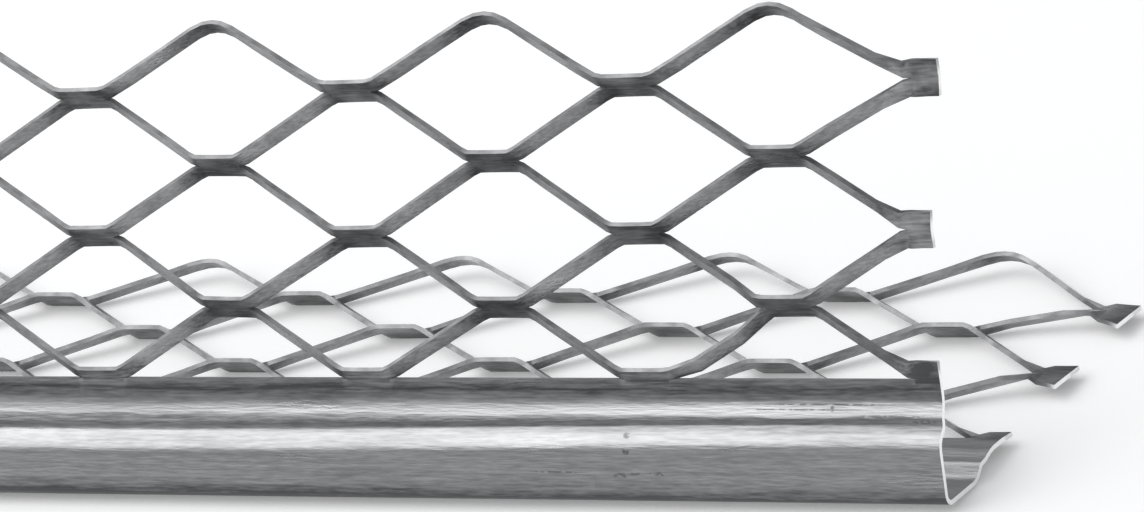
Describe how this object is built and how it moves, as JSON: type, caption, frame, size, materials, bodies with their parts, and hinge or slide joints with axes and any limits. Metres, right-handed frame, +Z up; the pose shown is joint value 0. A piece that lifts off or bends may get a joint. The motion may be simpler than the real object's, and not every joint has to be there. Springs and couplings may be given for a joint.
{
  "type": "drywall corner bead",
  "caption": "Galvanised steel corner bead with a folded solid nose and two wings of diamond mesh.",
  "frame": {"origin": "Middle of the length and of the width of the lying wing's box, at the level of the floor that the bead lies on", "axes": "+X along the bead's length, +Y from the nose out along the lying wing, +Z up"},
  "size_m": [1.2008, 0.0466, 0.0441],
  "materials": {
    "zinc_coated_steel": "satin"
  },
  "bodies": {
    "root": {"corner_bead": "zinc_coated_steel"}
  },
  "joints": []
}
